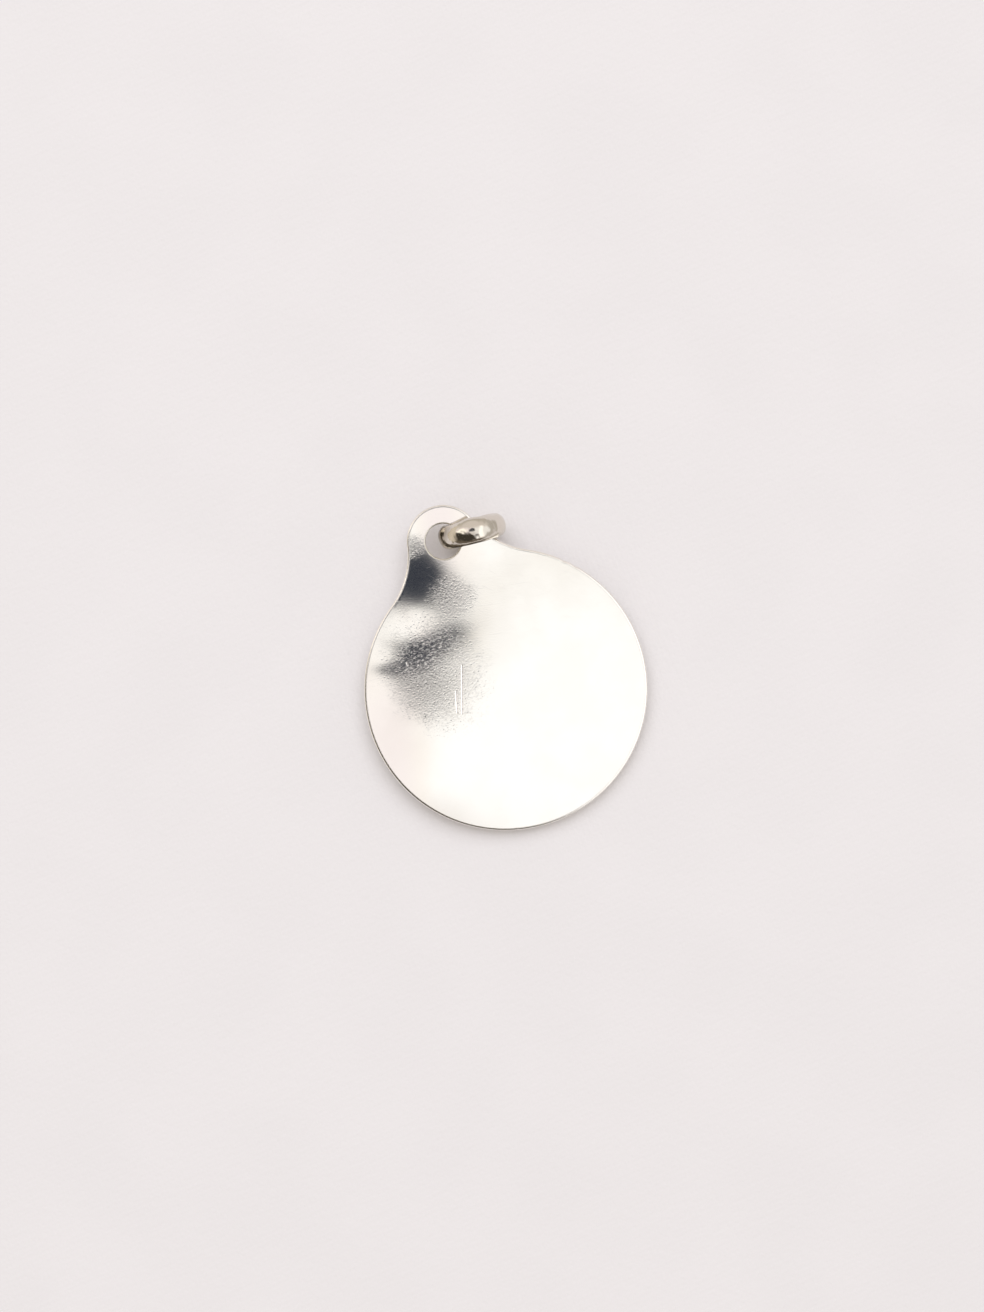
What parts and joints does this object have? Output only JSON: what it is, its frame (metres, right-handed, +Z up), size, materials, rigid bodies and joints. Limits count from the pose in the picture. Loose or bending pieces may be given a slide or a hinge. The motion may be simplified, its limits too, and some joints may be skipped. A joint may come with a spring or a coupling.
{
  "type": "medallion pendant",
  "caption": "Thin round polished silver medal with an eyelet ear in one piece with it and an oval-wire jump ring through the ear, lying plain back up.",
  "frame": {"origin": "on the surface it lies on, under the middle of the pendant's box", "axes": "+Z up from the surface; +Y level, from the disc's far rim towards the ear; +X to the side of the ear on which the jump ring lies"},
  "size_m": [0.02, 0.0238, 0.0049],
  "materials": {
    "medal_silver": "polished silver, slightly uneven, with fine scratches",
    "ring_silver": "polished silver wire"
  },
  "bodies": {
    "root": {"medallion": "medal_silver", "jump_ring": "ring_silver"}
  },
  "joints": []
}
